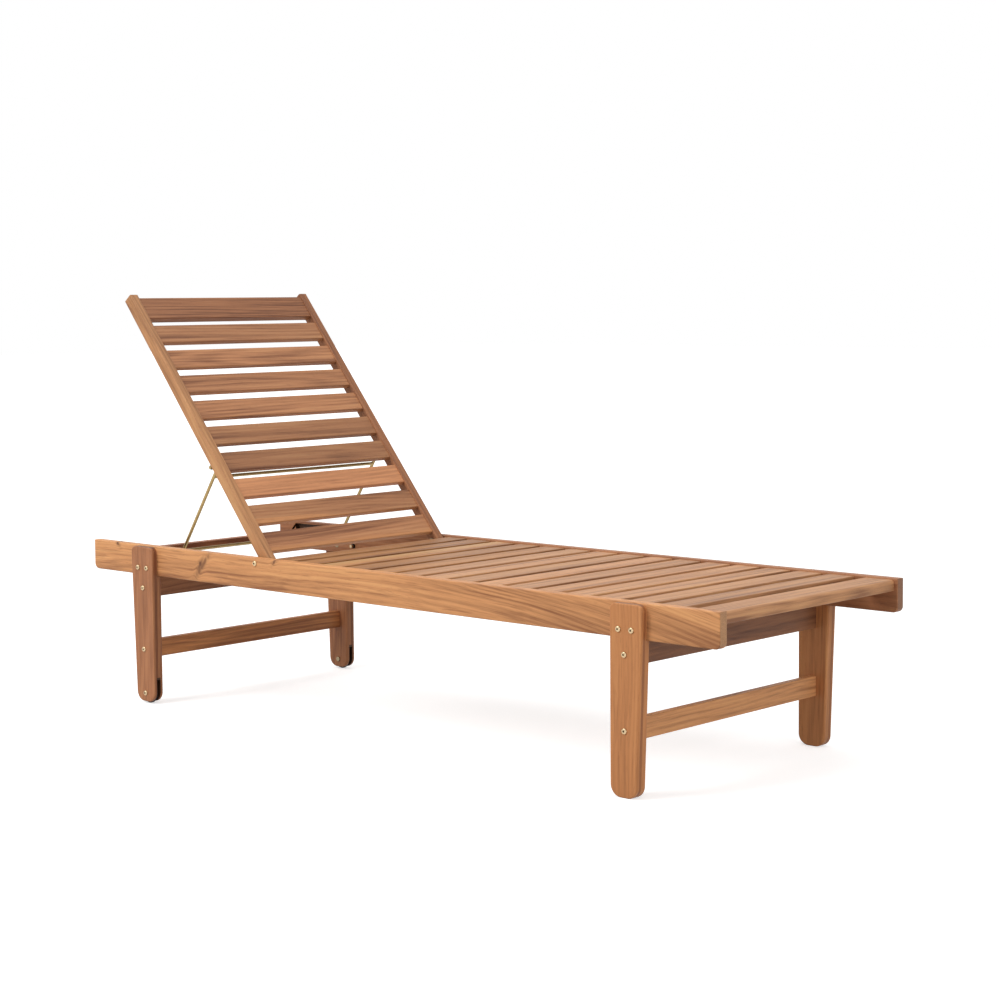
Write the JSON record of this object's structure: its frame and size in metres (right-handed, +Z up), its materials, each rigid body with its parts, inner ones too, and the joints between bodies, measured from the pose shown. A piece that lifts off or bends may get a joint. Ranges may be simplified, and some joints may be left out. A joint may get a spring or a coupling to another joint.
{
  "type": "sun lounger",
  "caption": "Slatted hardwood sun lounger with a tilting backrest propped by a rod bail in rail racks, and transport wheels in the rear legs.",
  "frame": {"origin": "on the ground under the middle of the frame", "axes": "+X towards the foot end, +Y towards the lounger's left side, +Z up"},
  "size_m": [1.84, 0.6494, 0.9502],
  "materials": {
    "wood_frame": "oiled hardwood, honey to red brown, satin",
    "wood_slats": "oiled hardwood slats of mixed tone, satin",
    "brass_fittings": "yellow plated rod, bolts and screws, fairly bright",
    "spacer": "black nylon of the spacers and clips",
    "wheel_black": "black moulded wheel, matt"
  },
  "bodies": {
    "frame": {"side_rail_right": "wood_frame", "side_rail_left": "wood_frame", "front_leg_right": "wood_frame", "front_leg_left": "wood_frame", "rear_leg_right": "wood_frame", "rear_leg_left": "wood_frame", "front_cross_rail": "wood_frame", "rear_cross_rail": "wood_frame", "front_stretcher": "wood_frame", "rear_stretcher": "wood_frame", "head_tie_bar": "wood_frame", "seat_slat_01": "wood_slats", "seat_slat_02": "wood_slats", "seat_slat_03": "wood_slats", "seat_slat_04": "wood_slats", "seat_slat_05": "wood_slats", "seat_slat_06": "wood_slats", "seat_slat_07": "wood_slats", "seat_slat_08": "wood_slats", "seat_slat_09": "wood_slats", "seat_slat_10": "wood_slats", "seat_slat_11": "wood_slats", "seat_slat_12": "wood_slats", "seat_slat_13": "wood_slats", "seat_slat_14": "wood_slats", "seat_slat_15": "wood_slats", "seat_slat_16": "wood_slats", "rail_bolts": "brass_fittings", "rail_nuts": "brass_fittings", "cross_bolts": "brass_fittings", "barrel_nuts": "brass_fittings", "pivot_bolts": "brass_fittings", "pivot_nuts": "brass_fittings", "axle_bolts": "brass_fittings", "axle_nuts": "brass_fittings", "rail_stop_pins": "brass_fittings", "pivot_spacers": "spacer"},
    "backrest": {"back_stile_right": "wood_frame", "back_stile_left": "wood_frame", "back_top_rail": "wood_frame", "back_slat_01": "wood_slats", "back_slat_02": "wood_slats", "back_slat_03": "wood_slats", "back_slat_04": "wood_slats", "back_slat_05": "wood_slats", "back_slat_06": "wood_slats", "back_slat_07": "wood_slats", "back_slat_08": "wood_slats", "back_slat_09": "wood_slats", "bracket_screws": "brass_fittings", "bail_brackets": "spacer"},
    "bail": {"bail_leg_right": "brass_fittings", "bail_leg_left": "brass_fittings", "bail_cross_rod": "brass_fittings", "bail_foot_rod": "brass_fittings"},
    "wheel_right": {"wheel_right": "wheel_black"},
    "wheel_left": {"wheel_left": "wheel_black"}
  },
  "joints": [
    {"name": "backrest_tilt", "type": "hinge", "parent": "frame", "child": "backrest", "pos_m": [-0.3395, 0, 0.356], "axis": [0, 1, 0], "range_deg": [-49, 4]},
    {"name": "bail_swing", "type": "hinge", "parent": "backrest", "child": "bail", "pos_m": [-0.52326, 0, 0.55719], "axis": [0, 1, 0], "range_deg": [-9.3, 108.3]},
    {"name": "wheel_right_spin", "type": "hinge", "parent": "frame", "child": "wheel_right", "pos_m": [-0.715, -0.30825, 0.0245], "axis": [0, 1, 0], "continuous": true},
    {"name": "wheel_left_spin", "type": "hinge", "parent": "frame", "child": "wheel_left", "pos_m": [-0.715, 0.30825, 0.0245], "axis": [0, 1, 0], "continuous": true}
  ],
  "couplings": [
    {"joint": "bail_swing", "follows": "backrest_tilt", "ratio": -2.2}
  ]
}
